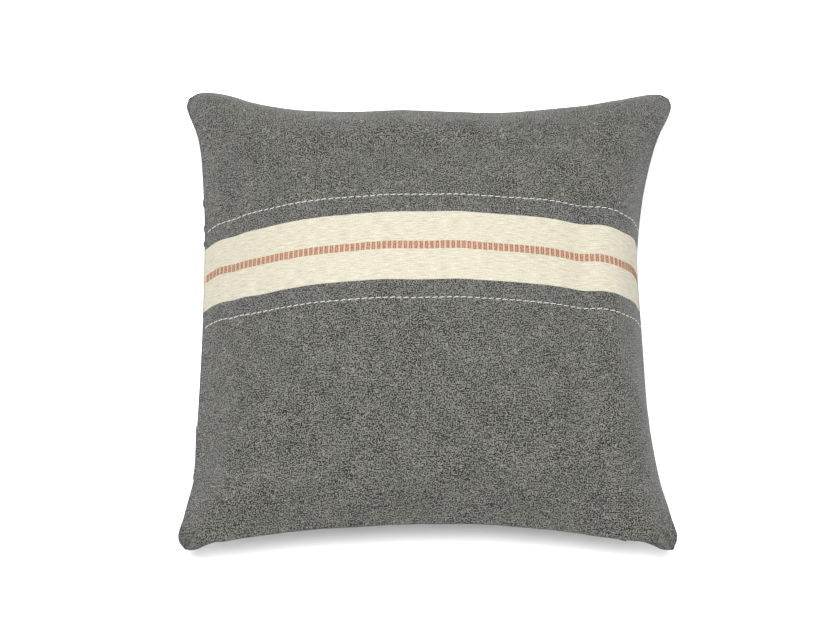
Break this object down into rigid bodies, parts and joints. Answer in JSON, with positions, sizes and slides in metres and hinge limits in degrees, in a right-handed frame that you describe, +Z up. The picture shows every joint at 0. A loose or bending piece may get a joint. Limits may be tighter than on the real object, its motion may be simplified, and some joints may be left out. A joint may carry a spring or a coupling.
{
  "type": "throw pillow",
  "caption": "Square striped throw pillow: woven cover with a concealed zipper in one edge, over a stuffed insert.",
  "frame": {"origin": "middle of the flat patch that the pillow rests on, lying on its back", "axes": "+Z up through the crown of the striped front panel, +Y to the panel's top edge, the zipper along the edge on the -Y side"},
  "size_m": [0.49, 0.49, 0.1454],
  "materials": {
    "grey_cloth": "slub weave, matte",
    "cream_yarn": "matte cotton yarn",
    "rust_yarn": "matte cotton yarn",
    "overlock_thread": "spun polyester thread",
    "label_satin": "woven satin ribbon, blank",
    "ticking": "downproof cotton",
    "filling": "feather and down, in the ticking",
    "zipper_tape": "woven polyester tape",
    "zipper_coil": "polyester monofilament",
    "zipper_metal": "enamelled die cast zinc"
  },
  "bodies": {
    "cushion": {"front_panel": "grey_cloth", "back_panel": "grey_cloth", "overlock_thread_left": "overlock_thread", "overlock_thread_top": "overlock_thread", "overlock_thread_right": "overlock_thread", "care_label": "label_satin", "insert_front_ticking": "ticking", "insert_back_ticking": "ticking", "insert_filling": "filling", "zipper_tape_front": "zipper_tape", "zipper_tape_back": "zipper_tape", "zipper_coil_front": "zipper_coil", "zipper_coil_back": "zipper_coil", "zipper_top_stop_front": "zipper_metal", "zipper_top_stop_back": "zipper_metal", "zipper_bottom_stop": "zipper_metal", "cream_dash_yarn_upper": "cream_yarn", "cream_dash_yarn_lower": "cream_yarn", "rust_float_yarn": "rust_yarn"},
    "slider": {"zipper_slider": "zipper_metal"},
    "pull": {"zipper_pull": "zipper_metal"}
  },
  "joints": [
    {"name": "slider_travel", "type": "hinge", "parent": "cushion", "child": "slider", "pos_m": [0, -1.25193, 0.058], "axis": [0, 0, 1], "range_deg": [0, 21.35]},
    {"name": "pull_swing", "type": "hinge", "parent": "slider", "child": "pull", "pos_m": [0.19143, -0.23644, 0.058], "axis": [0, 0, 1], "range_deg": [0, 160]}
  ]
}
